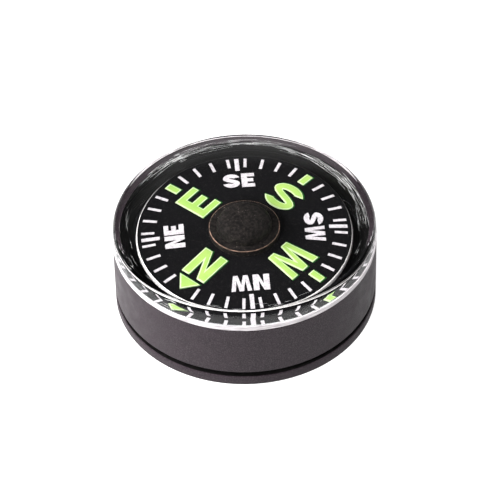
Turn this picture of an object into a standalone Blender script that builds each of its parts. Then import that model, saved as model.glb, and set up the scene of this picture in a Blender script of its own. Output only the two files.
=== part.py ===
"""Liquid-filled button compass: a case, a sealed clear capsule, and a card that turns and dips on its pivot.

The frame has +Z up, the origin at the middle of the underside, and north on the card along +Y.
"""
import math

import bmesh
import bpy

MM = 0.001

# Roundness
BIG_STEPS = 72            # sides of the case, capsule and card
SMALL_STEPS = 36          # sides of the hub, pivot and plug
DOME_STEPS = 12           # rings of the domed window
FILLET_STEPS = 4          # edges along a rounded corner

# Fits
FIT_GAP = 0.05 * MM       # clearance between pieces that are pressed or glued together
PRINT_GAP = 0.02 * MM     # film of glue under a luminous inlay

# Case
CASE_RADIUS = 10.0 * MM
CASE_WALL = 0.75 * MM
RIM_HEIGHT = 6.2 * MM             # top of the case's lip above the underside
LIP_HEIGHT = 0.4 * MM             # thin bright lip that stands up around the crystal's foot
LIP_THICKNESS = 0.15 * MM
LEDGE_WIDTH = 1.0 * MM            # inward step that carries the capsule
LEDGE_THICKNESS = 0.4 * MM
EDGE_BREAK = 0.08 * MM            # small chamfer on turned edges
COVER_EDGE_HEIGHT = 0.8 * MM
COVER_SPIGOT_HEIGHT = 1.0 * MM
COVER_WEB = 0.9 * MM              # thickness of the cover's middle
COVER_SPIGOT_WALL = 1.2 * MM
BASE_SEAL_THICKNESS = 0.4 * MM
BASE_SEAL_RECESS = 0.35 * MM      # how far the seal sits in from the case wall

# Capsule
CRYSTAL_SETBACK = 0.05 * MM       # crystal's side behind the case wall
CRYSTAL_STANDOUT = 1.08 * MM      # height of the window's edge above the case rim
CRYSTAL_EDGE_RADIUS = 0.45 * MM
DOME_RISE = 1.65 * MM             # middle of the window above its edge
WINDOW_THICKNESS = 0.8 * MM
CRYSTAL_WALL = 1.0 * MM           # wall of the part inside the case
CHAMBER_CORNER_RADIUS = 0.3 * MM
FLOOR_THICKNESS = 0.5 * MM
CAPSULE_SEAL_THICKNESS = 0.25 * MM
FILL_PLUG_RADIUS = 0.7 * MM
FILL_PLUG_HEAD_RADIUS = 1.1 * MM
FILL_PLUG_HEAD_HEIGHT = 0.25 * MM
FILL_PLUG_OFFSET = 5.5 * MM

# Pivot
POST_FLANGE_RADIUS = 1.5 * MM
POST_FLANGE_HEIGHT = 0.2 * MM
POST_SHANK_RADIUS = 0.8 * MM
POST_NECK_RADIUS = 0.5 * MM
POST_NECK_HEIGHT = 0.15 * MM
PIN_RADIUS = 0.22 * MM
PIN_SEAT_DEPTH = 0.8 * MM
PIN_POINT_LENGTH = 0.6 * MM
PIN_TIP_RADIUS = 0.02 * MM

# Card and hub
CARD_EDGE_GAP = 0.38 * MM         # liquid between the card's edge and the capsule
CARD_THICKNESS = 0.45 * MM
MAGNET_CLEARANCE = 0.46 * MM      # liquid between the capsule's floor and the magnet
PIVOT_RISE = 1.45 * MM            # pivot tip above the card's face
JEWEL_RADIUS = 0.55 * MM
JEWEL_HEIGHT = 0.45 * MM
JEWEL_ROOF = 0.15 * MM            # jewel above the pivot tip
JEWEL_CUP_RADIUS = 0.36 * MM
JEWEL_CUP_FLAT_RADIUS = 0.06 * MM
JEWEL_GAP = 0.1 * MM
JEWEL_SEAT_WALL = 0.2 * MM
HOLDER_RADIUS = 1.2 * MM
HOLDER_BORE_RADIUS = 0.85 * MM
HOLDER_FLANGE_WIDTH = 0.4 * MM
HOLDER_FLANGE_HEIGHT = 0.15 * MM
HOLDER_ROOF = 0.1 * MM
MAGNET_RADIUS = 3.2 * MM
MAGNET_THICKNESS = 0.62 * MM
CAP_FLANGE_WIDTH = 0.55 * MM
CAP_FLANGE_HEIGHT = 0.7 * MM
CAP_DOME_RADIUS = 2.0 * MM
CAP_DOME_POWER = 3.2              # 2 is an ellipse, more is squarer
CAP_WALL = 0.13 * MM

# Luminous inlays on the card
INLAY_THICKNESS = 0.09 * MM
LETTER_MARGIN = 2.12 * MM         # from the card's edge in to the tops of the letters
LETTER_HEIGHT = 2.65 * MM
LETTER_STROKE = 0.66 * MM
LETTER_N_WIDTH = 2.05 * MM
LETTER_E_WIDTH = 1.95 * MM
LETTER_S_WIDTH = 2.45 * MM
LETTER_W_WIDTH = 2.85 * MM
ARROW_MARGIN = 0.67 * MM
ARROW_LENGTH = 1.13 * MM
ARROW_WIDTH = 1.85 * MM
BAR_MARGIN = 0.49 * MM
BAR_LENGTH = 1.1 * MM
BAR_WIDTH = 0.55 * MM

# Heights that follow from the sizes above
seal_bottom = COVER_EDGE_HEIGHT + FIT_GAP
barrel_bottom = seal_bottom + BASE_SEAL_THICKNESS + FIT_GAP
spigot_top = COVER_EDGE_HEIGHT + COVER_SPIGOT_HEIGHT
ledge_bottom = spigot_top + FIT_GAP
ledge_top = ledge_bottom + LEDGE_THICKNESS
floor_bottom = ledge_top + FIT_GAP
floor_rim_top = floor_bottom + FLOOR_THICKNESS
capsule_seal_bottom = floor_rim_top + FIT_GAP
crystal_foot = capsule_seal_bottom + CAPSULE_SEAL_THICKNESS + FIT_GAP
floor_top = crystal_foot
wall_top = RIM_HEIGHT - LIP_HEIGHT
window_edge = RIM_HEIGHT + CRYSTAL_STANDOUT
magnet_bottom = floor_top + MAGNET_CLEARANCE
magnet_top = magnet_bottom + MAGNET_THICKNESS
card_bottom = magnet_top + FIT_GAP
card_top = card_bottom + CARD_THICKNESS
pivot_height = card_top + PIVOT_RISE
jewel_top = pivot_height + JEWEL_ROOF
jewel_bottom = jewel_top - JEWEL_HEIGHT
holder_top = jewel_top + JEWEL_GAP + HOLDER_ROOF
cap_foot = card_top + PRINT_GAP
inlay_bottom = card_top + PRINT_GAP

# Radii that follow from the sizes above
case_bore = CASE_RADIUS - CASE_WALL
capsule_outer = case_bore - FIT_GAP
crystal_radius = CASE_RADIUS - CRYSTAL_SETBACK
lip_bore = CASE_RADIUS - LIP_THICKNESS
chamber_radius = capsule_outer - CRYSTAL_WALL
card_radius = chamber_radius - CARD_EDGE_GAP
seal_inner = chamber_radius + FIT_GAP
jewel_seat_radius = JEWEL_RADIUS + JEWEL_GAP
holder_crown_radius = HOLDER_BORE_RADIUS + JEWEL_SEAT_WALL
hub_bore = HOLDER_RADIUS + FIT_GAP


def clear_scene():
    for thing in list(bpy.data.objects):
        bpy.data.objects.remove(thing, do_unlink=True)


def make_collection(name):
    collection = bpy.data.collections.new(name)
    bpy.context.scene.collection.children.link(collection)
    return collection


def make_material(name, color, roughness, metallic=0.0, alpha=1.0):
    material = bpy.data.materials.new(name)
    material.use_nodes = True
    shader = material.node_tree.nodes["Principled BSDF"]
    shader.inputs["Base Color"].default_value = (*color, 1.0)
    shader.inputs["Roughness"].default_value = roughness
    shader.inputs["Metallic"].default_value = metallic
    shader.inputs["Alpha"].default_value = alpha
    return material


def make_empty(name, height, parent=None):
    """An empty on the pivot, which carries the pieces that move about it."""
    empty = bpy.data.objects.new(name, None)
    empty.empty_display_size = card_radius / 4
    empty.location.z = height - (parent.location.z if parent else 0.0)
    empty.parent = parent
    parts.objects.link(empty)
    return empty


def arc(center, radius, start, end):
    """Points from the angle start to the angle end, in degrees, about a centre given as radius and height."""
    angles = [math.radians(start + (end - start) * i / FILLET_STEPS) for i in range(FILLET_STEPS + 1)]
    return [(center[0] + radius * math.cos(a), center[1] + radius * math.sin(a)) for a in angles]


def ring_profile(inner, outer, bottom, top, chamfer=0.0):
    """Section of a plain ring, from its inner top edge round the outside, with its outer edges chamfered."""
    return [(inner, top), (outer - chamfer, top), (outer, top - chamfer),
            (outer, bottom + chamfer), (outer - chamfer, bottom), (inner, bottom)]


def drop_repeats(points):
    kept = []
    for point in points:
        if not kept or math.dist(point, kept[-1]) > 1e-7:
            kept.append(point)
    return kept


def turned(name, profile, material, steps, parent=None):
    """A piece turned about Z from a section that runs from top to bottom down its outer side."""
    section = drop_repeats(profile)
    base = parent_height(parent)
    mesh = bpy.data.meshes.new(name)
    points = [(radius, 0.0, height - base) for radius, height in section]
    edges = [(i, i + 1) for i in range(len(points) - 1)]
    if section[0][0] > 0.0:
        edges.append((len(points) - 1, 0))
    mesh.from_pydata(points, edges, [])
    mesh.materials.append(material)
    piece = bpy.data.objects.new(name, mesh)
    screw = piece.modifiers.new("turn", "SCREW")
    screw.axis = "Z"
    screw.angle = math.tau
    screw.steps = steps
    screw.render_steps = steps
    screw.use_merge_vertices = True
    screw.merge_threshold = 1e-7
    screw.use_smooth_shade = True
    piece.parent = parent
    parts.objects.link(piece)
    return piece


def parent_height(parent):
    """World height of a parent empty."""
    height = 0.0
    while parent:
        height += parent.location.z
        parent = parent.parent
    return height


def cut_round_hole(piece, name, radius, place, bottom, top):
    """Bore a round hole through a piece, parallel to Z."""
    bpy.ops.mesh.primitive_cylinder_add(vertices=SMALL_STEPS, radius=radius, depth=top - bottom,
                                        location=(place[0], place[1], (top + bottom) / 2))
    cutter = bpy.context.object
    cutter.name = name
    for collection in list(cutter.users_collection):
        collection.objects.unlink(cutter)
    cutters.objects.link(cutter)
    cutter.hide_render = True
    cutter.display_type = "WIRE"
    cut = piece.modifiers.new(name, "BOOLEAN")
    cut.operation = "DIFFERENCE"
    cut.solver = "EXACT"
    cut.object = cutter


def inlay(name, outline, bearing, inner_radius, parent):
    """A flat luminous inlay on the card. Its outline starts at inner_radius and points outwards."""
    curve = bpy.data.curves.new(name, "CURVE")
    curve.dimensions = "2D"
    curve.fill_mode = "BOTH"
    curve.extrude = INLAY_THICKNESS / 2
    spline = curve.splines.new("POLY")
    spline.points.add(len(outline) - 1)
    for point, (x, y) in zip(spline.points, outline):
        point.co = (x, y, 0.0, 1.0)
    spline.use_cyclic_u = True
    curve.materials.append(luminous)
    piece = bpy.data.objects.new(name, curve)
    angle = math.radians(bearing)
    height = inlay_bottom + INLAY_THICKNESS / 2 - parent_height(parent)
    piece.location = (inner_radius * math.sin(angle), inner_radius * math.cos(angle), height)
    piece.rotation_euler.z = -angle
    weld = piece.modifiers.new("weld", "WELD")
    weld.merge_threshold = 1e-7
    piece.parent = parent
    parts.objects.link(piece)
    return piece


# Letter outlines: x from the middle, y from the foot up

def letter_n():
    half = LETTER_N_WIDTH / 2
    top = LETTER_HEIGHT
    stem = half - LETTER_STROKE
    slope = 0.62 * top
    return [(-half, 0), (-stem, 0), (-stem, slope), (stem, 0), (half, 0),
            (half, top), (stem, top), (stem, top - slope), (-stem, top), (-half, top)]


def letter_e():
    half = LETTER_E_WIDTH / 2
    top = LETTER_HEIGHT
    stem = LETTER_STROKE - half
    arm = 0.84 * LETTER_STROKE
    middle = half - 0.12 * LETTER_E_WIDTH
    low = (top - arm) / 2
    high = (top + arm) / 2
    return [(-half, 0), (half, 0), (half, arm), (stem, arm), (stem, low), (middle, low),
            (middle, high), (stem, high), (stem, top - arm), (half, top - arm), (half, top), (-half, top)]


def letter_w():
    shape = [(0, 1), (0.21, 1), (0.285, 0.27), (0.40, 1), (0.5, 1)]
    foot = [(0.5, 0.62), (0.36, 0), (0.15, 0)]
    left = shape[:-1]
    right = [(1 - x, y) for x, y in reversed(left)]
    under = [(1 - x, y) for x, y in reversed(foot[1:])] + foot
    return [((x - 0.5) * LETTER_W_WIDTH, y * LETTER_HEIGHT) for x, y in left + right + under]


def letter_s():
    """Two bowls joined by a slanting spine. The lower bowl is the upper one turned half a turn."""
    half = LETTER_STROKE / 2
    reach_x = LETTER_S_WIDTH / 2 - half
    reach_y = (LETTER_HEIGHT / 2 - half) / 2
    center = LETTER_HEIGHT / 2 + reach_y
    sweep = [math.radians(14 + 13 * i) for i in range(17)]
    outer = [((reach_x + half) * math.cos(a), center + (reach_y + half) * math.sin(a)) for a in sweep]
    inner = [((reach_x - half) * math.cos(a), center + (reach_y - half) * math.sin(a)) for a in sweep]
    side = smooth_line(outer + half_turn(inner))
    other_side = smooth_line(inner + half_turn(outer))
    return side + other_side[::-1]


def half_turn(line):
    """The line's points turned about the letter's middle, last point first."""
    return [(-x, LETTER_HEIGHT - y) for x, y in reversed(line)]


def smooth_line(points, rounds=3):
    """Each inner point moves halfway to the middle of its neighbours, which eases the joints of the arcs."""
    for _ in range(rounds):
        eased = [points[0]]
        for (x0, y0), (x1, y1), (x2, y2) in zip(points, points[1:], points[2:]):
            eased.append((x1 / 2 + (x0 + x2) / 4, y1 / 2 + (y0 + y2) / 4))
        points = eased + [points[-1]]
    return points


# Case

def make_base_cover():
    outer = CASE_RADIUS
    spigot = case_bore - FIT_GAP
    inside = spigot - COVER_SPIGOT_WALL
    profile = [(0, COVER_WEB), (inside, COVER_WEB), (inside, spigot_top), (spigot, spigot_top),
               (spigot, COVER_EDGE_HEIGHT), (outer - EDGE_BREAK, COVER_EDGE_HEIGHT),
               (outer, COVER_EDGE_HEIGHT - EDGE_BREAK), (outer, EDGE_BREAK), (outer - EDGE_BREAK, 0), (0, 0)]
    return turned("base_cover", profile, case_finish, BIG_STEPS)


def make_base_seal():
    profile = ring_profile(case_bore, CASE_RADIUS - BASE_SEAL_RECESS, seal_bottom,
                           seal_bottom + BASE_SEAL_THICKNESS)
    return turned("base_seal", profile, black_rubber, BIG_STEPS)


def make_case_barrel():
    ledge_inner = case_bore - LEDGE_WIDTH
    profile = [(lip_bore, RIM_HEIGHT), (CASE_RADIUS, RIM_HEIGHT), (CASE_RADIUS, barrel_bottom + EDGE_BREAK),
               (CASE_RADIUS - EDGE_BREAK, barrel_bottom), (case_bore, barrel_bottom),
               (case_bore, ledge_bottom), (ledge_inner, ledge_bottom), (ledge_inner, ledge_top),
               (case_bore, ledge_top), (case_bore, wall_top), (lip_bore, wall_top)]
    return turned("case_barrel", profile, case_finish, BIG_STEPS)


# Capsule

def window_height(radius):
    """Height of the domed window's outside."""
    return window_edge + DOME_RISE * (1 - (radius / crystal_radius) ** 2)


def dome_line(reach, drop):
    """Points on the window's dome from the middle out to a reach, lowered by a drop."""
    radii = [reach * i / DOME_STEPS for i in range(DOME_STEPS + 1)]
    return [(radius, window_height(radius) - drop) for radius in radii]


def make_crystal():
    """Domed window. Its shoulder steps in behind the case's lip, and again into the case."""
    edge_start = crystal_radius - CRYSTAL_EDGE_RADIUS
    edge_center = (edge_start, window_height(edge_start) - CRYSTAL_EDGE_RADIUS)
    corner_start = chamber_radius - CHAMBER_CORNER_RADIUS
    ceiling = dome_line(corner_start, WINDOW_THICKNESS)
    corner_center = (corner_start, ceiling[-1][1] - CHAMBER_CORNER_RADIUS)
    profile = dome_line(edge_start, 0.0) + arc(edge_center, CRYSTAL_EDGE_RADIUS, 90, 0)
    profile += [(crystal_radius, RIM_HEIGHT + FIT_GAP), (lip_bore - FIT_GAP, RIM_HEIGHT + FIT_GAP),
                (lip_bore - FIT_GAP, wall_top + FIT_GAP), (capsule_outer, wall_top + FIT_GAP),
                (capsule_outer, crystal_foot), (chamber_radius, crystal_foot)]
    profile += arc(corner_center, CHAMBER_CORNER_RADIUS, 0, 90) + ceiling[::-1]
    return turned("crystal", profile, clear_acrylic, BIG_STEPS)


def make_capsule_seal():
    profile = ring_profile(seal_inner, capsule_outer, capsule_seal_bottom,
                           capsule_seal_bottom + CAPSULE_SEAL_THICKNESS)
    return turned("capsule_seal", profile, black_rubber, BIG_STEPS)


def make_capsule_floor():
    spigot = chamber_radius - FIT_GAP
    bore = POST_SHANK_RADIUS + FIT_GAP
    profile = [(bore, floor_top), (spigot, floor_top), (spigot, floor_rim_top), (capsule_outer, floor_rim_top),
               (capsule_outer, floor_bottom), (bore, floor_bottom)]
    piece = turned("capsule_floor", profile, black_plastic, BIG_STEPS)
    cut_round_hole(piece, "fill_hole", FILL_PLUG_RADIUS + FIT_GAP, (0.0, -FILL_PLUG_OFFSET),
                   floor_bottom - FILL_PLUG_RADIUS, floor_top + FILL_PLUG_RADIUS)
    return piece


def make_fill_plug():
    """Stepped plug: its head is in the capsule and its shank fills the hole to the floor's underside."""
    head_bottom = floor_top + FIT_GAP
    head_top = head_bottom + FILL_PLUG_HEAD_HEIGHT
    profile = [(0, head_top), (FILL_PLUG_HEAD_RADIUS, head_top), (FILL_PLUG_HEAD_RADIUS, head_bottom),
               (FILL_PLUG_RADIUS, head_bottom), (FILL_PLUG_RADIUS, floor_bottom), (0, floor_bottom)]
    piece = turned("fill_plug", profile, black_rubber, SMALL_STEPS)
    piece.location.y = -FILL_PLUG_OFFSET
    return piece


# Pivot

def make_pivot_post():
    flange_bottom = floor_top + FIT_GAP
    flange_top = flange_bottom + POST_FLANGE_HEIGHT
    neck_top = flange_top + POST_NECK_HEIGHT
    bore = PIN_RADIUS + FIT_GAP
    seat = neck_top - PIN_SEAT_DEPTH
    profile = [(0, seat), (bore, seat), (bore, neck_top), (POST_NECK_RADIUS, neck_top),
               (POST_NECK_RADIUS, flange_top), (POST_FLANGE_RADIUS, flange_top),
               (POST_FLANGE_RADIUS, flange_bottom), (POST_SHANK_RADIUS, flange_bottom),
               (POST_SHANK_RADIUS, floor_bottom), (0, floor_bottom)]
    return turned("pivot_post", profile, brass, SMALL_STEPS)


def make_pivot_pin():
    foot = floor_top + FIT_GAP + POST_FLANGE_HEIGHT + POST_NECK_HEIGHT - PIN_SEAT_DEPTH + FIT_GAP
    profile = [(0, pivot_height), (PIN_TIP_RADIUS, pivot_height),
               (PIN_RADIUS, pivot_height - PIN_POINT_LENGTH), (PIN_RADIUS, foot), (0, foot)]
    return turned("pivot_pin", profile, steel, SMALL_STEPS)


# Card and hub

def make_jewel_cup(parent):
    cup_top = pivot_height + FIT_GAP
    profile = [(0, jewel_top), (JEWEL_RADIUS, jewel_top), (JEWEL_RADIUS, jewel_bottom),
               (JEWEL_CUP_RADIUS, jewel_bottom), (JEWEL_CUP_FLAT_RADIUS, cup_top), (0, cup_top)]
    return turned("jewel_cup", profile, sapphire, SMALL_STEPS, parent)


def make_compass_card(parent):
    profile = ring_profile(hub_bore, card_radius, card_bottom, card_top)
    return turned("compass_card", profile, card_paint, BIG_STEPS, parent)


def make_ring_magnet(parent):
    profile = ring_profile(hub_bore, MAGNET_RADIUS, magnet_bottom, magnet_top)
    return turned("ring_magnet", profile, magnet_black, SMALL_STEPS, parent)


def make_jewel_holder(parent):
    """Bush through the card and the magnet, with the jewel's seat above its bore."""
    flange_bottom = card_top + FIT_GAP
    flange_top = flange_bottom + HOLDER_FLANGE_HEIGHT
    flange_radius = HOLDER_RADIUS + HOLDER_FLANGE_WIDTH
    seat_roof = holder_top - HOLDER_ROOF
    seat_floor = jewel_bottom - JEWEL_GAP
    profile = [(0, holder_top), (holder_crown_radius, holder_top), (holder_crown_radius, flange_top),
               (flange_radius, flange_top), (flange_radius, flange_bottom),
               (HOLDER_RADIUS, flange_bottom), (HOLDER_RADIUS, magnet_bottom),
               (HOLDER_BORE_RADIUS, magnet_bottom), (HOLDER_BORE_RADIUS, seat_floor),
               (jewel_seat_radius, seat_floor), (jewel_seat_radius, seat_roof), (0, seat_roof)]
    return turned("jewel_holder", profile, brass, SMALL_STEPS, parent)


def dome(radius, foot, top, steps=9):
    """Section of a dome, from its top down to its foot."""
    power = 2 / CAP_DOME_POWER
    angles = [math.radians(90 - 90 * i / steps) for i in range(1, steps)]
    curve = [(radius * math.cos(a) ** power, foot + (top - foot) * math.sin(a) ** power) for a in angles]
    return [(0, top)] + curve + [(radius, foot)]


def make_hub_cap(parent):
    """Hollow dome with a flange that rests on the card. Its inside clears the crown of the jewel holder."""
    inner_radius = CAP_DOME_RADIUS - CAP_WALL
    share = (1 - (holder_crown_radius / inner_radius) ** CAP_DOME_POWER) ** (1 / CAP_DOME_POWER)
    ceiling = cap_foot + (holder_top + FIT_GAP - cap_foot) / share
    flange_top = cap_foot + CAP_FLANGE_HEIGHT
    flange_radius = CAP_DOME_RADIUS + CAP_FLANGE_WIDTH
    outside = dome(CAP_DOME_RADIUS, flange_top, ceiling + CAP_WALL)
    inside = dome(inner_radius, cap_foot, ceiling)
    profile = outside + [(flange_radius, flange_top), (flange_radius, cap_foot)] + inside[::-1]
    return turned("hub_cap", profile, hub_black, SMALL_STEPS, parent)


def make_inlays(parent):
    letters = {"n": (letter_n(), 0), "e": (letter_e(), 90), "s": (letter_s(), 180), "w": (letter_w(), 270)}
    foot_radius = card_radius - LETTER_MARGIN - LETTER_HEIGHT
    for key, (outline, bearing) in letters.items():
        inlay("luminous_letter_" + key, outline, bearing, foot_radius, parent)
    half = ARROW_WIDTH / 2
    arrow = [(-half, 0), (half, 0), (0, ARROW_LENGTH)]
    inlay("luminous_arrow_n", arrow, 0, card_radius - ARROW_MARGIN - ARROW_LENGTH, parent)
    half = BAR_WIDTH / 2
    bar = [(-half, 0), (half, 0), (half, BAR_LENGTH), (-half, BAR_LENGTH)]
    for key in "esw":
        inlay("luminous_bar_" + key, bar, letters[key][1], card_radius - BAR_MARGIN - BAR_LENGTH, parent)


clear_scene()
parts = make_collection("button_compass")
cutters = make_collection("cutters")

case_finish = make_material("case_finish", (0.075, 0.068, 0.082), 0.42)
black_rubber = make_material("black_rubber", (0.015, 0.015, 0.016), 0.8)
black_plastic = make_material("black_plastic", (0.02, 0.02, 0.022), 0.5)
clear_acrylic = make_material("clear_acrylic", (0.9, 0.92, 0.93), 0.03, alpha=0.25)
brass = make_material("brass", (0.72, 0.52, 0.22), 0.3, 1.0)
steel = make_material("steel", (0.6, 0.6, 0.62), 0.2, 1.0)
sapphire = make_material("sapphire", (0.75, 0.1, 0.2), 0.05)
magnet_black = make_material("magnet_black", (0.03, 0.03, 0.032), 0.6)
card_paint = make_material("card_paint", (0.012, 0.012, 0.014), 0.55)
hub_black = make_material("hub_black", (0.02, 0.02, 0.021), 0.7)
luminous = make_material("luminous", (0.6, 0.93, 0.28), 0.5)

spin_axis = make_empty("card_spin_axis", pivot_height)
dip_axis = make_empty("card_dip_axis", pivot_height, spin_axis)

make_base_cover()
make_base_seal()
make_case_barrel()
make_crystal()
make_capsule_seal()
make_capsule_floor()
make_fill_plug()
make_pivot_post()
make_pivot_pin()
make_jewel_cup(spin_axis)
make_compass_card(dip_axis)
make_ring_magnet(dip_axis)
make_jewel_holder(dip_axis)
make_hub_cap(dip_axis)
make_inlays(dip_axis)
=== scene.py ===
import math

import bmesh
import bpy
from mathutils import Matrix, Vector


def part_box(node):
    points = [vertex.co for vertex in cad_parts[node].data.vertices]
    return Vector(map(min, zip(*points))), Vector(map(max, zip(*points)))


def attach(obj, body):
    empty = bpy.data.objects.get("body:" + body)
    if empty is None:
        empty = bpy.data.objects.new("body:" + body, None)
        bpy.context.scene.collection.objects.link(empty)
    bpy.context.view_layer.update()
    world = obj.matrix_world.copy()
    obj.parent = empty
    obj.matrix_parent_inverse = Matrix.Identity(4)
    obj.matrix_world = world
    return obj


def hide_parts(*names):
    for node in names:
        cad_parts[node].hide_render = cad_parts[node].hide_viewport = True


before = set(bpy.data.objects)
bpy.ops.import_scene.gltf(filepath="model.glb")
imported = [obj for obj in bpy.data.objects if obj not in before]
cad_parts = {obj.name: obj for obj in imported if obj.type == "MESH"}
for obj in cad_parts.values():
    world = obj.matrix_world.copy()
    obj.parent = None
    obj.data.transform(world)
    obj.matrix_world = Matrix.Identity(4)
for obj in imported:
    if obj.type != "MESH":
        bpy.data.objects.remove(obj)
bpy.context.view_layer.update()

mm = 0.001
flat = 0.9   # a face lies flat where its normal's upward part is more than this


def low(node, axis=2):
    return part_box(node)[0][axis]


def high(node, axis=2):
    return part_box(node)[1][axis]


places = {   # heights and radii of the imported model
    "caseRadius": high("case_barrel", 0),
    "wallFoot": low("case_barrel"),
    "rim": high("case_barrel"),
    "coverTop": low("base_seal"),
    "sealTop": high("base_seal"),
    "sealRadius": high("base_seal", 0),
    "crystalRadius": high("crystal", 0),
    "crystalTop": high("crystal"),
    "crystalFoot": low("crystal"),
    "spigotRadius": high("capsule_floor", 0),
    "cardRadius": high("compass_card", 0),
    "cardTop": high("compass_card"),
    "cardFoot": low("compass_card"),
    "capRadius": high("hub_cap", 0),
    "capTop": high("hub_cap"),
    "capFoot": low("hub_cap"),
}


def newPiece(name, mesh, materials, body, replaced=()):
    piece = bpy.data.objects.new(name, mesh)
    bpy.context.scene.collection.objects.link(piece)
    for material in materials:
        if material.name not in mesh.materials:
            mesh.materials.append(material)
    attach(piece, body)
    if replaced:
        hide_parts(*replaced)
    return piece


def roundedLine(corners, steps=5):   # each corner is radius, height and how much it is rounded
    line = []
    for i, corner in enumerate(corners):
        here = Vector(corner[:2])
        radius = corner[2] if len(corner) > 2 else 0
        if radius == 0 or i in (0, len(corners) - 1):
            line.append(here)
            continue
        before = Vector(corners[i - 1][:2]) - here
        after = Vector(corners[i + 1][:2]) - here
        angle = before.angle(after)
        reach = min(radius / math.tan(angle / 2), before.length * 0.49, after.length * 0.49)
        fillet = reach * math.tan(angle / 2)
        between = (before.normalized() + after.normalized()).normalized()
        middle = here + between * (fillet / math.sin(angle / 2))
        start = here + before.normalized() * reach - middle
        turn = start.angle_signed(here + after.normalized() * reach - middle)
        for k in range(steps + 1):
            line.append(middle + Matrix.Rotation(-turn * k / steps, 2) @ start)
    return line


def turnedMesh(name, line, sides=256, closed=False, sharp=35):
    bm = bmesh.new()
    rings = []
    angles = [math.tau * i / sides for i in range(sides)]
    for radius, height in line:
        if radius < 1e-7:   # on the axis one point closes the shape
            rings.append([bm.verts.new((0, 0, height))])
            continue
        rings.append([bm.verts.new((radius * math.cos(a), radius * math.sin(a), height)) for a in angles])
    pairs = list(zip(rings, rings[1:]))
    if closed:
        pairs.append((rings[-1], rings[0]))
    for upper, lower in pairs:
        for i in range(sides):
            j = (i + 1) % sides
            if len(upper) == 1:
                bm.faces.new((upper[0], lower[i], lower[j]))
            elif len(lower) == 1:
                bm.faces.new((upper[j], upper[i], lower[0]))
            else:
                bm.faces.new((upper[i], lower[i], lower[j], upper[j]))
    bmesh.ops.recalc_face_normals(bm, faces=bm.faces)
    mesh = bpy.data.meshes.new(name)
    bm.to_mesh(mesh)
    bm.free()
    mesh.shade_smooth()
    mesh.set_sharp_from_angle(angle=math.radians(sharp))
    return mesh


def outlineMesh(name, outlines, base, thickness):   # raised shapes from closed outlines
    bm = bmesh.new()
    for outline in outlines:
        face = bm.faces.new([bm.verts.new((x, y, base)) for x, y in outline])
        face.normal_update()
        if face.normal.z < 0:
            face.normal_flip()
        made = bmesh.ops.extrude_face_region(bm, geom=[face])
        top = [v for v in made["geom"] if isinstance(v, bmesh.types.BMVert)]
        bmesh.ops.translate(bm, verts=top, vec=(0, 0, thickness))
        face.normal_flip()
    bmesh.ops.recalc_face_normals(bm, faces=bm.faces)
    bmesh.ops.triangulate(bm, faces=[f for f in bm.faces if len(f.verts) > 4])
    mesh = bpy.data.meshes.new(name)
    bm.to_mesh(mesh)
    bm.free()
    return mesh


# Materials: every pattern is on Object coordinates, so a scale is patterns per metre

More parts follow.
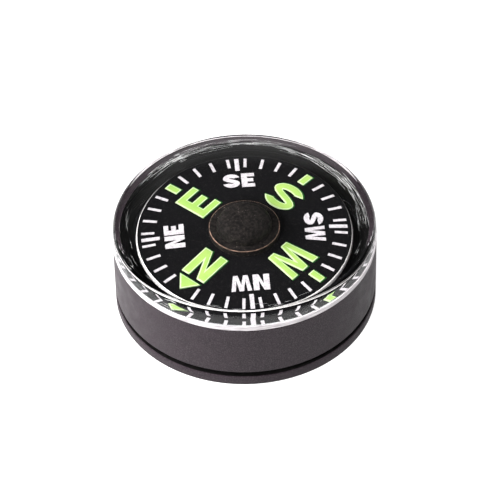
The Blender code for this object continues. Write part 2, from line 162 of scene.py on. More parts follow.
class Finish:
    def __init__(self, name, color, roughness, metallic=0.0, specular=0.5):
        self.material = bpy.data.materials.new(name)
        self.material.use_nodes = True
        self.nodes = self.material.node_tree.nodes
        self.links = self.material.node_tree.links
        self.shader = self.nodes["Principled BSDF"]
        self.shader.inputs["Base Color"].default_value = (*color, 1)
        self.shader.inputs["Roughness"].default_value = roughness
        self.shader.inputs["Metallic"].default_value = metallic
        self.shader.inputs["Specular IOR Level"].default_value = specular
        self.place = self.nodes.new("ShaderNodeTexCoord").outputs["Object"]

    def around(self, turns, height, radius=0.0):   # pattern space of angle, height and radius
        split = self.nodes.new("ShaderNodeSeparateXYZ")
        self.links.new(self.place, split.inputs[0])
        angle = self.math("ARCTAN2", split.outputs["Y"], split.outputs["X"])
        across = self.math("POWER", split.outputs["X"], 2)
        along = self.math("POWER", split.outputs["Y"], 2)
        distance = self.math("SQRT", self.math("ADD", across, along))
        join = self.nodes.new("ShaderNodeCombineXYZ")
        self.links.new(self.math("MULTIPLY", angle, turns), join.inputs["X"])
        self.links.new(self.math("MULTIPLY", split.outputs["Z"], height), join.inputs["Y"])
        self.links.new(self.math("MULTIPLY", distance, radius), join.inputs["Z"])
        return join.outputs[0]

    def math(self, operation, first, second=None):
        node = self.nodes.new("ShaderNodeMath")
        node.operation = operation
        for socket, value in zip(node.inputs, (first, second)):
            if value is None:
                continue
            if isinstance(value, (int, float)):
                socket.default_value = value
            else:
                self.links.new(value, socket)
        return node.outputs[0]

    def noise(self, scale, detail=3.0, vector=None, contrast=None):   # contrast is what turns black and white
        node = self.nodes.new("ShaderNodeTexNoise")
        node.inputs["Scale"].default_value = scale
        node.inputs["Detail"].default_value = detail
        self.links.new(vector or self.place, node.inputs["Vector"])
        if contrast is None:
            return node.outputs["Fac"]
        span = self.nodes.new("ShaderNodeMapRange")
        span.inputs["From Min"].default_value = contrast[0]
        span.inputs["From Max"].default_value = contrast[1]
        self.links.new(node.outputs["Fac"], span.inputs["Value"])
        return span.outputs[0]

    def blend(self, factor, first, second):   # a colour between two, by a pattern
        mix = self.nodes.new("ShaderNodeMix")
        mix.data_type = "RGBA"
        self.links.new(factor, mix.inputs["Factor"])
        for socket, color in ((mix.inputs[6], first), (mix.inputs[7], second)):
            if isinstance(color, tuple):
                socket.default_value = (*color, 1)
            else:
                self.links.new(color, socket)
        return mix.outputs[2]

    def color(self, output):
        self.links.new(output, self.shader.inputs["Base Color"])

    def roughness(self, pattern, smooth, rough):   # smooth where the pattern is dark, rough where light
        span = self.nodes.new("ShaderNodeMapRange")
        span.inputs["To Min"].default_value = smooth
        span.inputs["To Max"].default_value = rough
        self.links.new(pattern, span.inputs["Value"])
        self.links.new(span.outputs[0], self.shader.inputs["Roughness"])

    def bump(self, pattern, depth, strength=1.0):
        node = self.nodes.new("ShaderNodeBump")
        node.inputs["Distance"].default_value = depth
        node.inputs["Strength"].default_value = strength
        self.links.new(pattern, node.inputs["Height"])
        self.links.new(node.outputs[0], self.shader.inputs["Normal"])


caseLook = {"dark": (0.0125, 0.0090, 0.0115), "light": (0.0195, 0.0145, 0.0180),
            "speck": (0.036, 0.028, 0.032), "grain": 11000, "mottle": 900}


def satinCase():
    finish = Finish("satinCase", caseLook["dark"], 0.5, specular=0.16)
    grain = finish.noise(caseLook["grain"], 2, contrast=(0.45, 0.72))
    mottle = finish.noise(caseLook["mottle"], 3, contrast=(0.3, 0.7))
    tint = finish.blend(mottle, caseLook["dark"], caseLook["light"])
    finish.color(finish.blend(grain, tint, caseLook["speck"]))
    finish.roughness(mottle, 0.38, 0.52)
    finish.bump(grain, 0.006 * mm)
    return finish.material


lipLook = {"bright": (0.54, 0.51, 0.525), "worn": (0.28, 0.26, 0.27)}


def brightMetal():
    finish = Finish("brightLip", lipLook["bright"], 0.4, 0.25)
    streaks = finish.noise(1, 5, finish.around(9, 9000), (0.35, 0.65))
    finish.color(finish.blend(streaks, lipLook["worn"], lipLook["bright"]))
    finish.roughness(streaks, 0.3, 0.55)
    finish.bump(streaks, 0.004 * mm)
    return finish.material


rubberLook = {"clean": (0.0015, 0.0015, 0.0015), "dusty": (0.006, 0.0055, 0.0055)}


def blackRubber():
    finish = Finish("blackRubber", rubberLook["clean"], 0.8, specular=0.1)
    dust = finish.noise(2500, 4, contrast=(0.3, 0.8))
    finish.color(finish.blend(dust, rubberLook["clean"], rubberLook["dusty"]))
    finish.roughness(dust, 0.55, 0.8)
    finish.bump(dust, 0.01 * mm)
    return finish.material


crystalLook = {"ior": 1.48, "tint": (0.985, 0.99, 0.99), "ripple": 0.0006 * mm}


def clearCrystal():
    finish = Finish("clearCrystal", crystalLook["tint"], 0.0)
    finish.shader.inputs["IOR"].default_value = crystalLook["ior"]
    finish.shader.inputs["Transmission Weight"].default_value = 1.0
    ripple = finish.noise(1, 4, finish.around(14, 2500, 2500), (0.3, 0.7))
    finish.bump(ripple, crystalLook["ripple"])
    nodes, links = finish.nodes, finish.links
    seeThrough = nodes.new("ShaderNodeBsdfTransparent")   # lets the lamps light the card inside
    path = nodes.new("ShaderNodeLightPath")
    either = finish.math("MAXIMUM", path.outputs["Is Shadow Ray"], path.outputs["Is Diffuse Ray"])
    mix = nodes.new("ShaderNodeMixShader")
    links.new(either, mix.inputs[0])
    links.new(finish.shader.outputs[0], mix.inputs[1])
    links.new(seeThrough.outputs[0], mix.inputs[2])
    links.new(mix.outputs[0], nodes["Material Output"].inputs["Surface"])
    return finish.material


# painted reflection: the bright silver stands for light reflected along the crystal's wall
streakLook = {"dull": (0.10, 0.10, 0.10), "bright": (0.70, 0.70, 0.70)}


def silverReflectionStreak():
    finish = Finish("silverReflectionStreak", streakLook["bright"], 0.4)
    patches = finish.noise(1800, 3, contrast=(0.35, 0.65))
    finish.color(finish.blend(patches, streakLook["dull"], streakLook["bright"]))
    finish.bump(patches, 0.01 * mm)
    return finish.material


cardLook = {"base": (0.0025, 0.0025, 0.0028), "fleck": (0.012, 0.011, 0.011)}


def blackCard():
    finish = Finish("blackCard", cardLook["base"], 0.85, specular=0.12)
    flecks = finish.noise(6500, 3, contrast=(0.55, 0.85))
    finish.color(finish.blend(flecks, cardLook["base"], cardLook["fleck"]))
    finish.bump(flecks, 0.004 * mm)
    return finish.material


edgeLook = {   # painted shade: the bare edge is coloured dark towards the side of its bearing, the side turned from the front lamps
    "bright": (0.95, 0.93, 0.92), "dull": (0.45, 0.42, 0.41), "painted": (0.02, 0.02, 0.02),
    "shadedBearing": 150, "shadeStarts": -1.5 * mm, "shadeCovers": 4.5 * mm}


def bareAluminiumAndShade():
    finish = Finish("bareAluminiumAndShade", edgeLook["bright"], 0.5)
    marks = finish.noise(1, 4, finish.around(140, 400), (0.35, 0.65))
    bare = finish.blend(marks, edgeLook["dull"], edgeLook["bright"])
    split = finish.nodes.new("ShaderNodeSeparateXYZ")
    finish.links.new(finish.place, split.inputs[0])
    side = math.radians(edgeLook["shadedBearing"])
    across = finish.math("MULTIPLY", split.outputs["X"], math.sin(side))
    along = finish.math("MULTIPLY", split.outputs["Y"], math.cos(side))
    reach = finish.nodes.new("ShaderNodeMapRange")
    reach.inputs["From Min"].default_value = edgeLook["shadeStarts"]
    reach.inputs["From Max"].default_value = edgeLook["shadeCovers"]
    finish.links.new(finish.math("ADD", across, along), reach.inputs["Value"])
    # painted shade: the dark colour covers the edge's far side
    finish.color(finish.blend(reach.outputs[0], bare, edgeLook["painted"]))
    finish.roughness(marks, 0.4, 0.7)
    finish.bump(marks, 0.006 * mm)
    return finish.material


hubLook = {"base": (0.003, 0.0028, 0.0028), "grain": (0.013, 0.011, 0.010), "speck": (0.16, 0.135, 0.12),
           "edge": (0.02, 0.015, 0.012), "wornEdge": (0.16, 0.10, 0.075)}


def hubPlastic():
    finish = Finish("hubPlastic", hubLook["base"], 0.8, specular=0.25)
    grain = finish.noise(5200, 4, contrast=(0.4, 0.7))
    specks = finish.noise(9500, 2, contrast=(0.66, 0.74))
    patch = finish.noise(420, 1, contrast=(0.42, 0.62))
    tint = finish.blend(grain, hubLook["base"], hubLook["grain"])
    finish.color(finish.blend(finish.math("MULTIPLY", specks, patch), tint, hubLook["speck"]))
    finish.bump(grain, 0.02 * mm)
    return finish.material


def hubEdge():
    finish = Finish("hubEdge", hubLook["edge"], 0.6)
    wear = finish.noise(2400, 3, contrast=(0.35, 0.65))
    finish.color(finish.blend(wear, hubLook["edge"], hubLook["wornEdge"]))
    finish.bump(wear, 0.008 * mm)
    return finish.material


# the edge colours are painted highlight on the print's lit border and walls; the under colours are painted
# green shadow
glowLook = {"fill": (0.155, 0.265, 0.055), "warmFill": (0.20, 0.285, 0.070), "edge": (0.34, 0.41, 0.26),
            "warmPaintedHighlight": (0.28, 0.38, 0.17), "under": (0.006, 0.05, 0.006), "lightPaintedShadow": (0.02, 0.10, 0.02)}


def luminousFill():
    finish = Finish("luminousFill", glowLook["fill"], 0.55)
    cloud = finish.noise(900, 3, contrast=(0.35, 0.7))
    grain = finish.noise(7000, 3)
    finish.color(finish.blend(cloud, glowLook["fill"], glowLook["warmFill"]))
    finish.bump(grain, 0.006 * mm)
    return finish.material


# painted highlight: a pale green standing for the light caught by the print's border and walls
def luminousPaintedHighlight():
    finish = Finish("luminousPaintedHighlight", glowLook["edge"], 0.5)
    cloud = finish.noise(2500, 3, contrast=(0.35, 0.7))
    finish.color(finish.blend(cloud, glowLook["edge"], glowLook["warmPaintedHighlight"]))
    finish.bump(cloud, 0.006 * mm)
    return finish.material


# painted shadow: a dark green standing for the green-tinted shade beside each luminous print
def luminousPaintedShadow():
    finish = Finish("luminousPaintedShadow", glowLook["under"], 0.7, specular=0.1)
    cloud = finish.noise(3000, 3, contrast=(0.3, 0.7))
    finish.color(finish.blend(cloud, glowLook["under"], glowLook["lightPaintedShadow"]))
    return finish.material


printLook = {"thin": (0.22, 0.205, 0.215), "full": (0.36, 0.34, 0.355)}


def whitePrint():
    finish = Finish("whitePrint", printLook["full"], 0.6)
    grain = finish.noise(6000, 4, contrast=(0.3, 0.6))
    finish.color(finish.blend(grain, printLook["thin"], printLook["full"]))
    finish.bump(grain, 0.005 * mm)
    return finish.material


def turnedFinish(name, color, dull, roughness, metallic):   # fine rings, as on turned or moulded parts
    finish = Finish(name, color, roughness, metallic)
    rings = finish.noise(1, 3, finish.around(2, 9000, 9000), (0.3, 0.7))
    finish.color(finish.blend(rings, dull, color))
    finish.roughness(rings, roughness * 0.8, roughness * 1.2)
    finish.bump(rings, 0.003 * mm)
    return finish.material


insideLook = {   # the parts under the card: colour, duller colour, roughness, metallic
    "capsule_floor": ((0.02, 0.02, 0.022), (0.012, 0.012, 0.013), 0.5, 0.0),
    "capsule_seal": ((0.012, 0.012, 0.012), (0.007, 0.007, 0.007), 0.8, 0.0),
    "fill_plug": ((0.014, 0.014, 0.014), (0.008, 0.008, 0.008), 0.75, 0.0),
    "pivot_post": ((0.72, 0.52, 0.22), (0.50, 0.34, 0.13), 0.3, 1.0),
    "pivot_pin": ((0.60, 0.60, 0.62), (0.42, 0.42, 0.44), 0.2, 1.0),
    "jewel_cup": ((0.55, 0.04, 0.10), (0.38, 0.02, 0.06), 0.08, 0.0),
    "jewel_holder": ((0.72, 0.52, 0.22), (0.48, 0.33, 0.12), 0.32, 1.0),
    "ring_magnet": ((0.030, 0.030, 0.032), (0.016, 0.016, 0.017), 0.6, 0.2),
}


def finishInside():
    for node, look in insideLook.items():
        material = turnedFinish(node.replace("_", "") + "Finish", *look)
        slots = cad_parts[node].data.materials
        slots.clear()
        slots.append(material)
    print("inner parts finished")


caseSizes = {"edge": 0.10 * mm, "lipHeight": 0.40 * mm, "lipThickness": 0.15 * mm, "lipEdge": 0.04 * mm,
             "sealEdge": 0.05 * mm, "bore": 9.25 * mm}


def makeCase():
    p, s = places, caseSizes
    outer = p["caseRadius"]
    wallTop = p["rim"] - s["lipHeight"]
    wall = roundedLine([(s["bore"], wallTop), (outer, wallTop), (outer, p["wallFoot"], s["edge"]),
                        (s["bore"], p["wallFoot"])])
    mesh = turnedMesh("caseWall", wall, closed=True)
    newPiece("caseWall", mesh, [caseFinish], "root", ["case_barrel"])
    inner = outer - s["lipThickness"]
    lip = roundedLine([(inner, p["rim"]), (outer, p["rim"], s["lipEdge"]), (outer, wallTop), (inner, wallTop)])
    newPiece("brightLip", turnedMesh("brightLip", lip, closed=True), [lipFinish], "root")
    cover = roundedLine([(0, p["coverTop"]), (outer, p["coverTop"], s["edge"]), (outer, 0, s["edge"]), (0, 0)])
    mesh = turnedMesh("baseCover", cover)
    newPiece("baseCover", mesh, [caseFinish, rubberFinish], "root", ["base_cover"])
    for face in mesh.polygons:
        if face.normal.z > flat:
            face.material_index = 1   # painted shade: the groove's floor is as black as its seal, so the groove reads dark
    seal = roundedLine([(s["bore"], p["sealTop"]), (p["sealRadius"], p["sealTop"], s["sealEdge"]),
                        (p["sealRadius"], p["coverTop"], s["sealEdge"]), (s["bore"], p["coverTop"])])
    mesh = turnedMesh("sealRing", seal, closed=True)
    newPiece("sealRing", mesh, [rubberFinish], "root", ["base_seal"])
    print("case, lip, cover and seal made")


crystalSizes = {"rise": 1.65 * mm, "edge": 0.45 * mm, "gap": 0.05 * mm, "rings": 40, "edgeSteps": 12}


def domeHeight(radius):
    edgeHeight = places["crystalTop"] - crystalSizes["rise"]
    return edgeHeight + crystalSizes["rise"] * (1 - (radius / places["crystalRadius"]) ** 2)


def makeCrystal():   # the window, its wall and the liquid are one clear block
    p, s = places, crystalSizes
    outer, edge = p["crystalRadius"], s["edge"]
    neck = p["caseRadius"] - caseSizes["lipThickness"] - s["gap"]
    shoulder = p["rim"] - caseSizes["lipHeight"] + s["gap"]
    bandFoot = p["rim"] + s["gap"]
    edgeStart = outer - edge   # the dome runs into the wall in a small rounded edge
    edgeMiddle = domeHeight(edgeStart) - edge
    radii = [outer * k / s["rings"] for k in range(s["rings"])]
    dome = [(radius, domeHeight(radius)) for radius in radii if radius < edgeStart]
    turn = [math.radians(90 - 90 * k / s["edgeSteps"]) for k in range(s["edgeSteps"] + 1)]
    rounded = [(edgeStart + edge * math.cos(a), edgeMiddle + edge * math.sin(a)) for a in turn]
    wall = [(outer, bandFoot), (neck, bandFoot), (neck, shoulder), (p["spigotRadius"], shoulder),
            (p["spigotRadius"], p["crystalFoot"]), (0, p["crystalFoot"])]
    mesh = turnedMesh("clearCapsule", dome + rounded + wall, sharp=30)
    newPiece("clearCapsule", mesh, [crystalFinish], "root", ["crystal"])
    print("crystal made")


cardSizes = {"hole": 1.3 * mm, "edge": 0.09 * mm, "printLift": 0.002 * mm, "shadowLift": 0.001 * mm}


def makeCard():
    p = places
    line = roundedLine([(cardSizes["hole"], p["cardTop"]), (p["cardRadius"], p["cardTop"], cardSizes["edge"]),
                        (p["cardRadius"], p["cardFoot"]), (cardSizes["hole"], p["cardFoot"])])
    mesh = turnedMesh("cardDisc", line, closed=True)
    newPiece("cardDisc", mesh, [cardFinish, edgeFinish], "card", ["compass_card"])
    for face in mesh.polygons:
        if abs(face.normal.z) < flat:
            face.material_index = 1   # the disc's bare edge
    print("card made")


hubSizes = {   # a higher power makes the dome squarer
    "flangeHeight": 0.70 * mm, "domeRadius": 2.0 * mm, "power": 3.2, "edge": 0.05 * mm, "steps": 26}


def makeHub():
    p, s = places, hubSizes
    flangeTop = p["capFoot"] + s["flangeHeight"]
    rise = p["capTop"] - flangeTop
    turn = [math.radians(90 - 90 * k / s["steps"]) for k in range(s["steps"] + 1)]
    dome = [(s["domeRadius"] * max(math.cos(a), 0) ** (2 / s["power"]),
             flangeTop + rise * max(math.sin(a), 0) ** (2 / s["power"])) for a in turn]
    dome[0] = (0, p["capTop"])
    edgeRadius, edgeHeight = p["capRadius"] - s["edge"], flangeTop - s["edge"]
    line = dome + [(edgeRadius, flangeTop), (p["capRadius"], edgeHeight), (p["capRadius"], p["capFoot"]),
                   (0, p["capFoot"])]
    mesh = turnedMesh("hubCap", line, sides=160, sharp=40)
    newPiece("hubCap", mesh, [hubFinish, hubEdgeFinish], "card", ["hub_cap"])
    for face in mesh.polygons:
        if math.hypot(face.center.x, face.center.y) > edgeRadius and face.center.z > edgeHeight:
            face.material_index = 1   # the flange's worn upper edge
    print("hub made")


class Tree:   # a geometry node tree with named inputs
    def __init__(self, name, inputs):
        self.group = bpy.data.node_groups.new(name, "GeometryNodeTree")
        self.group.is_modifier = True
        self.group.interface.new_socket("Geometry", in_out="OUTPUT", socket_type="NodeSocketGeometry")
        self.keys = {}
        for label, (kind, value) in inputs.items():
            socket = self.group.interface.new_socket(label, in_out="INPUT", socket_type="NodeSocket" + kind)
            if value is not None:
                socket.default_value = value
            self.keys[label] = socket.identifier
        self.source = self.group.nodes.new("NodeGroupInput")
        self.result = self.group.nodes.new("NodeGroupOutput")

    def value(self, label):
        return self.source.outputs[label]

    def add(self, kind, settings=None, **inputs):
        node = self.group.nodes.new(kind)
        for key, value in (settings or {}).items():
            setattr(node, key, value)
        for key, value in inputs.items():
            self.fill(node.inputs[key.replace("_", " ")], value)
        return node

    def fill(self, socket, value):
        if isinstance(value, bpy.types.NodeSocket):
            self.group.links.new(value, socket)
        else:
            socket.default_value = value

    def math(self, operation, first, second=0.0):
        node = self.add("ShaderNodeMath", {"operation": operation})
        self.fill(node.inputs[0], first)
        self.fill(node.inputs[1], second)
        return node.outputs[0]

    def vector(self, x, y, z):
        return self.add("ShaderNodeCombineXYZ", X=x, Y=y, Z=z).outputs[0]

    def finish(self, geometry):   # ends in real faces with their material
        real = self.add("GeometryNodeRealizeInstances", Geometry=geometry).outputs[0]
        painted = self.add("GeometryNodeSetMaterial", Geometry=real, Material=self.value("Material"))
        self.group.links.new(painted.outputs[0], self.result.inputs[0])


def grownMesh(name, tree, values):   # runs the tree once and keeps its result as a plain mesh
    holder = bpy.data.objects.new(name + "Source", bpy.data.meshes.new(name + "Source"))
    bpy.context.scene.collection.objects.link(holder)
    modifier = holder.modifiers.new(name, "NODES")
    modifier.node_group = tree.group
    for label, value in values.items():
        modifier[tree.keys[label]] = value
    holder.update_tag()
    mesh = bpy.data.meshes.new_from_object(holder.evaluated_get(bpy.context.evaluated_depsgraph_get()))
    mesh.name = name
    holder.modifiers.clear()
    bpy.data.objects.remove(holder, do_unlink=True)
    return mesh


def tickTree():
    tree = Tree("tickRing", {
        "Count": ("Int", 36), "First angle": ("Float", 0.0), "Skip every": ("Int", 9), "Skip shift": ("Int", 0),
        "Outer radius": ("Float", 0.0), "Length": ("Float", 0.0), "Short length": ("Float", 0.0),
        "Width": ("Float", 0.0), "Thickness": ("Float", 0.0), "Height": ("Float", 0.0),
        "Material": ("Material", None)})
    index = tree.add("GeometryNodeInputIndex").outputs[0]
    place = tree.math("MODULO", index, tree.value("Skip every"))
    afterThird = tree.math("GREATER_THAN", place, 3.5)   # the two beside a corner tick are shorter
    beforeSixth = tree.math("LESS_THAN", place, 5.5)
    beside = tree.math("MULTIPLY", afterThird, beforeSixth)
    change = tree.math("SUBTRACT", tree.value("Short length"), tree.value("Length"))
    length = tree.math("ADD", tree.value("Length"), tree.math("MULTIPLY", beside, change))
    step = tree.math("DIVIDE", math.tau, tree.value("Count"))
    angle = tree.math("ADD", tree.value("First angle"), tree.math("MULTIPLY", index, step))
    radius = tree.math("SUBTRACT", tree.value("Outer radius"), tree.math("MULTIPLY", length, 0.5))
    level = tree.math("ADD", tree.value("Height"), tree.math("MULTIPLY", tree.value("Thickness"), 0.5))
    position = tree.vector(tree.math("MULTIPLY", radius, tree.math("SINE", angle)),
                           tree.math("MULTIPLY", radius, tree.math("COSINE", angle)), level)
    points = tree.add("GeometryNodePoints", Count=tree.value("Count"), Position=position).outputs[0]
    shifted = tree.math("MODULO", tree.math("ADD", index, tree.value("Skip shift")), tree.value("Skip every"))
    keep = tree.math("GREATER_THAN", shifted, 0.5)   # none at the big letters
    turn = tree.vector(0.0, 0.0, tree.math("MULTIPLY", angle, -1.0))
    block = tree.add("GeometryNodeMeshCube", Size=(1.0, 1.0, 1.0)).outputs[0]
    scale = tree.vector(tree.value("Width"), length, tree.value("Thickness"))
    ticks = tree.add("GeometryNodeInstanceOnPoints", Points=points, Selection=keep, Instance=block,
                     Rotation=turn, Scale=scale).outputs[0]
    tree.finish(ticks)
    return tree


tickSizes = {"margin": 0.36 * mm, "length": 1.06 * mm, "shortLength": 0.98 * mm, "width": 0.22 * mm,
             "wideLength": 1.36 * mm, "wideWidth": 0.32 * mm, "thickness": 0.03 * mm}


def makeTicks():
    p, s = places, tickSizes
    tree = tickTree()
    shared = {"Outer radius": p["cardRadius"] - s["margin"], "Thickness": s["thickness"],
              "Height": p["cardTop"] + cardSizes["printLift"], "Material": printFinish}
    mesh = grownMesh("tenDegreeTicks", tree, {
        **shared, "Count": 36, "Skip every": 9, "Length": s["length"], "Short length": s["shortLength"],
        "Width": s["width"]})
    newPiece("tenDegreeTicks", mesh, [printFinish], "card")
    mesh = grownMesh("cornerTicks", tree, {
        **shared, "Count": 4, "First angle": math.pi / 4, "Skip every": 100, "Skip shift": 1,   # keeps all four
        "Length": s["wideLength"], "Short length": s["wideLength"], "Width": s["wideWidth"]})
    newPiece("cornerTicks", mesh, [printFinish], "card")
    print("ticks made")


def streakTree():
    tree = Tree("wallStreaks", {
        "Count": ("Int", 60), "From angle": ("Float", 0.0), "To angle": ("Float", math.tau),
        "Lowest": ("Float", 0.0), "Highest": ("Float", 0.0), "Radius": ("Float", 0.0),
        "Depth": ("Float", 0.0), "Shortest": ("Float", 0.0), "Longest": ("Float", 0.0),
        "Thickness": ("Float", 0.0), "Seed": ("Int", 1), "Material": ("Material", None)})

    def pick(lowest, highest, shift):   # a random number for each streak, a new row for each shift
        seed = tree.math("ADD", tree.value("Seed"), float(shift))
        node = tree.add("FunctionNodeRandomValue", Seed=seed)
        tree.fill(node.inputs[2], lowest)
        tree.fill(node.inputs[3], highest)
        return node.outputs[1]

    angle = pick(tree.value("From angle"), tree.value("To angle"), 0)
    inset = pick(0.0, tree.value("Depth"), 1)
    radius = tree.math("SUBTRACT", tree.value("Radius"), inset)
    level = pick(tree.value("Lowest"), tree.value("Highest"), 2)
    length = pick(tree.value("Shortest"), tree.value("Longest"), 3)
    position = tree.vector(tree.math("MULTIPLY", radius, tree.math("SINE", angle)),
                           tree.math("MULTIPLY", radius, tree.math("COSINE", angle)), level)
    points = tree.add("GeometryNodePoints", Count=tree.value("Count"), Position=position).outputs[0]
    lean = pick(-0.12, 0.12, 4)   # in radians off the level
    turn = tree.vector(0.0, lean, tree.math("MULTIPLY", angle, -1.0))
    thickness = tree.math("MULTIPLY", tree.value("Thickness"), pick(0.4, 1.0, 5))
    block = tree.add("GeometryNodeMeshIcoSphere", Radius=0.5, Subdivisions=2).outputs[0]
    depth = tree.math("MULTIPLY", tree.value("Thickness"), 0.3)   # pressed flat along the wall
    streaks = tree.add("GeometryNodeInstanceOnPoints", Points=points, Instance=block, Rotation=turn,
                       Scale=tree.vector(length, depth, thickness)).outputs[0]
    tree.finish(streaks)
    return tree


streakSizes = {   # bearings in degrees
    "fineStreaks": {"count": 60, "from": 0, "to": 360, "shortest": 0.3 * mm, "longest": 1.4 * mm,
                    "thickness": 0.030 * mm, "seed": 3},
    "backStreaks": {"count": 90, "from": 84, "to": 226, "shortest": 0.8 * mm, "longest": 3.2 * mm,
                    "thickness": 0.065 * mm, "seed": 8},
    "eastStreaks": {"count": 16, "from": 98, "to": 110, "shortest": 0.3 * mm, "longest": 0.9 * mm,
                    "thickness": 0.160 * mm, "seed": 5},
    "southStreaks": {"count": 14, "from": 194, "to": 214, "shortest": 0.8 * mm, "longest": 2.0 * mm,
                     "thickness": 0.120 * mm, "seed": 6}}
streakPlace = {   # how far over the card, under the wall's edge and inside its face
    "overCard": 0.9 * mm, "underEdge": 0.25 * mm, "inset": 0.05 * mm, "depth": 0.75 * mm}


def makeStreaks():   # polishing marks and tiny voids in the crystal's wall; their silver colour is painted reflection, standing for light caught along the wall
    p, w = places, streakPlace
    tree = streakTree()
    for name, s in streakSizes.items():
        mesh = grownMesh(name, tree, {
            "Count": s["count"], "From angle": math.radians(s["from"]), "To angle": math.radians(s["to"]),
            "Lowest": p["cardTop"] + w["overCard"], "Highest": domeHeight(p["crystalRadius"]) - w["underEdge"],
            "Radius": p["spigotRadius"] - w["inset"], "Depth": w["depth"], "Shortest": s["shortest"],
            "Longest": s["longest"], "Thickness": s["thickness"], "Seed": s["seed"], "Material": streakFinish})
        newPiece(name, mesh, [streakFinish], "root")
    print("crystal wall marks made")


def eased(points, rounds=3):   # an open line with its corners softened
    for _ in range(rounds):
        middle = [(b[0] / 2 + (a[0] + c[0]) / 4, b[1] / 2 + (a[1] + c[1]) / 4)
                  for a, b, c in zip(points, points[1:], points[2:])]
        points = [points[0]] + middle + [points[-1]]
    return points


def letterShape(letter, width, height, stroke):   # outline from the middle of the letter's foot
    half = width / 2
    stem = half - stroke
    if letter == "N":
        slope = 0.60 * height
        return [(-half, 0), (-stem, 0), (-stem, slope), (stem, 0), (half, 0), (half, height), (stem, height),
                (stem, height - slope), (-stem, height), (-half, height)]
    if letter == "E":
        arm = 0.84 * stroke
        armFoot, armTop = (height - arm) / 2, (height + arm) / 2   # the middle arm, a little shorter
        return [(-half, 0), (half, 0), (half, arm), (-stem, arm), (-stem, armFoot), (half * 0.8, armFoot),
                (half * 0.8, armTop), (-stem, armTop), (-stem, height - arm), (half, height - arm),
                (half, height), (-half, height)]
    if letter == "W":   # in shares of its width and height
        left = [(0, 1), (0.21, 1), (0.29, 0.30), (0.39, 1)]
        right = [(1 - x, y) for x, y in reversed(left)]
        under = [(0.85, 0), (0.63, 0), (0.5, 0.60), (0.37, 0), (0.15, 0)]
        return [((x - 0.5) * width, y * height) for x, y in left + right + under]
    reach = Vector((half - stroke / 2, (height - stroke) / 4))   # S is one bowl and the same bowl turned
    center = height / 2 + reach.y
    sweep = [math.radians(10 + 13.2 * i) for i in range(17)]   # a little more than half a round

    def bowl(offset):
        return [((reach.x + offset) * math.cos(a), center + (reach.y + offset) * math.sin(a)) for a in sweep]

    def halfTurn(line):
        return [(-x, height - y) for x, y in reversed(line)]

    outer, inner = bowl(stroke / 2), bowl(-stroke / 2)
    return eased(outer + halfTurn(inner)) + eased(inner + halfTurn(outer))[::-1]


letterSizes = {"height": 1.46 * mm, "stroke": 0.42 * mm, "gap": 0.12 * mm, "foot": 4.30 * mm,
               "thickness": 0.03 * mm,
               "widths": {"N": 1.18 * mm, "E": 0.94 * mm, "S": 1.22 * mm, "W": 1.48 * mm}}


def makeLetters():
    s = letterSizes
    base = places["cardTop"] + cardSizes["printLift"]
    for word, bearing in (("NE", 45), ("SE", 135), ("SW", 225), ("NW", 315)):
        total = sum(s["widths"][letter] for letter in word) + s["gap"]
        left = -total / 2
        turn = Matrix.Rotation(-math.radians(bearing), 2)
        outlines = []
        for letter in word:
            width = s["widths"][letter]
            shape = letterShape(letter, width, s["height"], s["stroke"])
            outlines.append([turn @ Vector((x + left + width / 2, y + s["foot"])) for x, y in shape])
            left += width + s["gap"]
        mesh = outlineMesh("letters" + word, outlines, base, s["thickness"])
        newPiece("letters" + word, mesh, [printFinish], "card")
    print("white letters made")


# the shadow sizes set the painted shadow sheet under each print, shifted towards the shadow bearing
glowSizes = {"highlightBorder": 0.075 * mm, "shift": 0.03 * mm, "shadowBearing": 195, "shadowReach": 0.05 * mm,
             "shadowShift": 0.07 * mm, "shadowThickness": 0.012 * mm}


def bearingVector(bearing, length):
    a = math.radians(bearing)
    return Vector((math.sin(a), math.cos(a), 0)) * length


def widened(points, reach):   # an outline moved outwards by a reach
    area = sum(a.x * b.y - b.x * a.y for a, b in zip(points, points[1:] + points[:1]))
    side = 1 if area > 0 else -1
    wider = []
    for i, here in enumerate(points):
        before = (here - points[i - 1]).normalized()
        after = (points[(i + 1) % len(points)] - here).normalized()
        across = Vector((before.y + after.y, -before.x - after.x, 0)).normalized()
        spread = max(across.x * before.y - across.y * before.x, 0.5)
        wider.append(here + across * (side * reach / spread))
    return wider


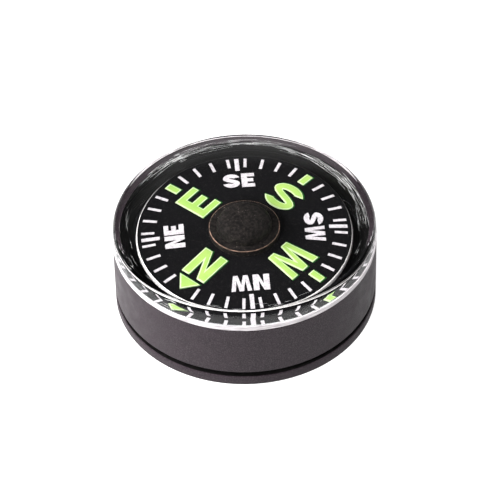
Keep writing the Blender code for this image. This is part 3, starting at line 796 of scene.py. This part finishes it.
def makeLuminous():   # each raised print has a pale border, a painted highlight widest on its lit side, and lies on a darker green sheet, a painted shadow shifted away from the lamps
    s = glowSizes
    base = places["cardTop"] + cardSizes["shadowLift"]
    for node in [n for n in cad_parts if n.startswith("luminous_")]:
        bm = bmesh.new()
        bm.from_mesh(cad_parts[node].data)
        bmesh.ops.remove_doubles(bm, verts=bm.verts, dist=1e-7)
        bmesh.ops.dissolve_limit(bm, angle_limit=math.radians(1), verts=bm.verts, edges=bm.edges)
        top = [f for f in bm.faces if f.normal.z > flat]
        under = [v.co.copy() for v in top[0].verts]
        # painted highlight: the walls and the border take the pale colour
        for face in bm.faces:
            face.material_index = 1
        bmesh.ops.inset_region(bm, faces=top, thickness=s["highlightBorder"], use_even_offset=True)
        for face in top:
            face.material_index = 0
        inner = {v for f in top for v in f.verts}
        # the top moves towards the shadow bearing, so the pale border is widest on the lit side
        bmesh.ops.translate(bm, verts=list(inner), vec=bearingVector(s["shadowBearing"], s["shift"]))
        bmesh.ops.triangulate(bm, faces=[f for f in bm.faces if len(f.verts) > 4])
        mesh = bpy.data.meshes.new(node + "_print")
        bm.to_mesh(mesh)
        bm.free()
        newPiece(node + "_print", mesh, [glowFinish, glowHighlightFinish], "card", [node])
        # painted shadow: a dark green sheet under the print, shifted away from the lamps
        outline = widened(under, s["shadowReach"])
        move = bearingVector(s["shadowBearing"], s["shadowShift"])
        moved = [(v.x + move.x, v.y + move.y) for v in outline]
        mesh = outlineMesh(node + "_base", [moved], base, s["shadowThickness"])
        newPiece(node + "_base", mesh, [glowShadowFinish], "card")
    print("luminous print made")


viewSettings = {"azimuth": 221.2, "elevation": 44.45, "distance": 240 * mm, "lens": 226.5, "roll": -1.29,
                "aimRight": 0.389 * mm, "aimUp": 0.573 * mm, "aimHeight": 3.5 * mm, "near": 0.001, "far": 10}


def towards(azimuth, elevation):   # a direction from the object, azimuth 0 in front and 90 at its right
    a, e = math.radians(azimuth), math.radians(elevation)
    return Vector((math.sin(a) * math.cos(e), -math.cos(a) * math.cos(e), math.sin(e)))


studio = {   # sky brightness runs from horizon to ceiling between two heights of the view direction
    "horizon": 0.6, "ceiling": 0.05, "horizonEnds": 0.12, "ceilingStarts": 0.40,
    "floorColor": (0.3, 0.3, 0.3), "floorGlow": 0.35, "floorLift": 0.50, "floorSize": 0.6,
    "floorDrop": 0.01 * mm,
    "lights": {   # degrees from the camera's direction, degrees up, distance, size, power
        "leftBox": (-92, 34, 0.30, 0.20, 3.4),
        "rightBox": (98, 34, 0.32, 0.16, 0.8),
        "frontBox": (-32, 42, 0.34, 0.12, 2.2),
        "backBox": (176, 24, 0.35, 0.10, 0.25)}}


def makeLight(name, side, height, distance, size, power):
    place = towards(viewSettings["azimuth"] + side, height) * distance
    data = bpy.data.lights.new(name, "AREA")
    data.shape = "DISK"
    data.size = size
    data.energy = power
    light = bpy.data.objects.new(name, data)
    light.location = place
    light.rotation_euler = place.to_track_quat("Z", "Y").to_euler()
    light.visible_glossy = False   # no lamp shapes on or in the window
    light.visible_transmission = False
    bpy.context.scene.collection.objects.link(light)


def makeStudio():
    world = bpy.data.worlds.new("studio")
    bpy.context.scene.world = world
    world.use_nodes = True
    nodes, links = world.node_tree.nodes, world.node_tree.links
    background = nodes["Background"]
    background.inputs["Color"].default_value = (1, 1, 1, 1)
    direction = nodes.new("ShaderNodeTexCoord")
    split = nodes.new("ShaderNodeSeparateXYZ")
    fade = nodes.new("ShaderNodeMapRange")   # bright at the horizon, dim overhead
    fade.inputs["From Min"].default_value = studio["horizonEnds"]
    fade.inputs["From Max"].default_value = studio["ceilingStarts"]
    fade.inputs["To Min"].default_value = studio["horizon"]
    fade.inputs["To Max"].default_value = studio["ceiling"]
    links.new(direction.outputs["Generated"], split.inputs[0])
    links.new(split.outputs["Z"], fade.inputs["Value"])
    links.new(fade.outputs[0], background.inputs["Strength"])
    backdrop = nodes.new("ShaderNodeBackground")   # plain white behind the object
    backdrop.inputs["Color"].default_value = (1, 1, 1, 1)
    path = nodes.new("ShaderNodeLightPath")
    mix = nodes.new("ShaderNodeMixShader")
    links.new(path.outputs["Is Camera Ray"], mix.inputs[0])
    links.new(background.outputs[0], mix.inputs[1])
    links.new(backdrop.outputs[0], mix.inputs[2])
    links.new(mix.outputs[0], nodes["World Output"].inputs["Surface"])
    bpy.context.scene.view_settings.view_transform = "Standard"
    floorMesh = bpy.data.meshes.new("floor")
    bm = bmesh.new()
    bmesh.ops.create_grid(bm, x_segments=1, y_segments=1, size=studio["floorSize"])
    bm.to_mesh(floorMesh)
    bm.free()
    floor = bpy.data.objects.new("floor", floorMesh)
    floor.location.z = -studio["floorDrop"]
    bpy.context.scene.collection.objects.link(floor)
    finish = Finish("paleFloor", studio["floorColor"], 0.9)
    finish.shader.inputs["Emission Color"].default_value = (1, 1, 1, 1)
    seen = finish.nodes.new("ShaderNodeLightPath").outputs["Is Camera Ray"]   # looks paler than it lights
    glow = finish.math("ADD", finish.math("MULTIPLY", seen, studio["floorLift"]), studio["floorGlow"])
    finish.links.new(glow, finish.shader.inputs["Emission Strength"])
    floorMesh.materials.append(finish.material)
    for name, values in studio["lights"].items():
        makeLight(name, *values)
    print("studio made")


def makeCamera():
    v = viewSettings
    back = towards(v["azimuth"], v["elevation"])
    right = towards(v["azimuth"] + 90, 0)
    up = back.cross(right)
    aim = Vector((0, 0, v["aimHeight"])) + right * v["aimRight"] + up * v["aimUp"]
    data = bpy.data.cameras.new("camera")
    data.lens = v["lens"]
    data.clip_start = v["near"]
    data.clip_end = v["far"]
    camera = bpy.data.objects.new("camera", data)
    turn = Matrix((right, up, back)).transposed().to_4x4()
    roll = Matrix.Rotation(math.radians(v["roll"]), 4, "Z")
    camera.matrix_world = Matrix.Translation(aim + back * v["distance"]) @ turn @ roll
    bpy.context.scene.collection.objects.link(camera)
    bpy.context.scene.camera = camera
    print("camera made")


caseFinish = satinCase()
lipFinish = brightMetal()
rubberFinish = blackRubber()
crystalFinish = clearCrystal()
streakFinish = silverReflectionStreak()
cardFinish = blackCard()
edgeFinish = bareAluminiumAndShade()
hubFinish = hubPlastic()
hubEdgeFinish = hubEdge()
glowFinish = luminousFill()
glowHighlightFinish = luminousPaintedHighlight()
glowShadowFinish = luminousPaintedShadow()
printFinish = whitePrint()
print("finishes made")

makeCase()
makeCrystal()
makeStreaks()
makeCard()
makeHub()
makeTicks()
makeLetters()
makeLuminous()
finishInside()
makeStudio()
makeCamera()
